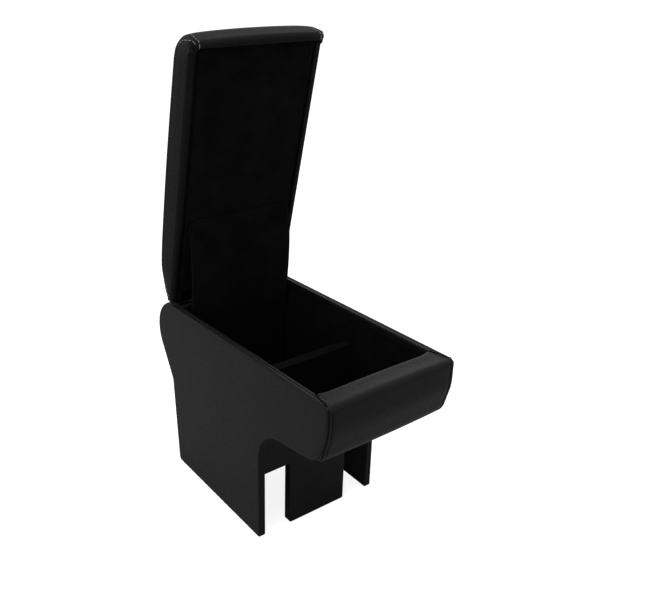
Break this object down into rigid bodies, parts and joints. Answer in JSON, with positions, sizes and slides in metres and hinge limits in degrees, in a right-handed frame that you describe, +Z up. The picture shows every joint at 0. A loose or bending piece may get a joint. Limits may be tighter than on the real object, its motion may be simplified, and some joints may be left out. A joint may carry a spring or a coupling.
{
  "type": "car centre armrest",
  "caption": "Bin armrest that straddles a car's centre tunnel on two side legs, with a padded nose, a divided felt-lined bin and a padded lid hinged at the rear.",
  "frame": {"origin": "on the floor plane the legs stand on, in the middle of the footprint across and along", "axes": "+X to the right seen from the nose, +Y from the nose to the rear hinge, +Z up"},
  "size_m": [0.17, 0.3486, 0.554],
  "materials": {
    "leather": "black grained leatherette, semi-matt, white twin stitching",
    "felt": "black needle felt",
    "board": "black-dyed fibreboard",
    "foam": "upholstery foam",
    "steel": "black-plated steel"
  },
  "bodies": {
    "box": {"left_side_board": "board", "right_side_board": "board", "left_side_cover": "leather", "right_side_cover": "leather", "front_panel_board": "board", "nose_bent_board": "board", "nose_pad": "foam", "front_wall_board": "board", "front_cover": "leather", "floor_board": "board", "rear_board": "board", "rear_bent_board": "board", "rear_cover": "leather", "left_lining": "felt", "right_lining": "felt", "front_lining": "felt", "floor_lining": "felt", "rear_lining": "felt", "divider_board": "board", "divider_lining": "felt", "assembly_screws": "steel", "hinge_fixed_leaf": "steel", "hinge_pin": "steel", "hinge_fixed_screws": "steel"},
    "lid": {"lid_board": "board", "lid_foam": "foam", "lid_top_cover": "leather", "lid_left_cover": "leather", "lid_right_cover": "leather", "lid_lining": "felt", "hinge_lid_leaf": "steel", "hinge_lid_screws": "steel", "hinge_flap": "felt"}
  },
  "joints": [
    {"name": "lid_hinge", "type": "hinge", "parent": "box", "child": "lid", "pos_m": [0, 0.13772, 0.22376], "axis": [1, 0, 0], "range_deg": [0, 74.4], "deforming": ["hinge_flap"]}
  ]
}
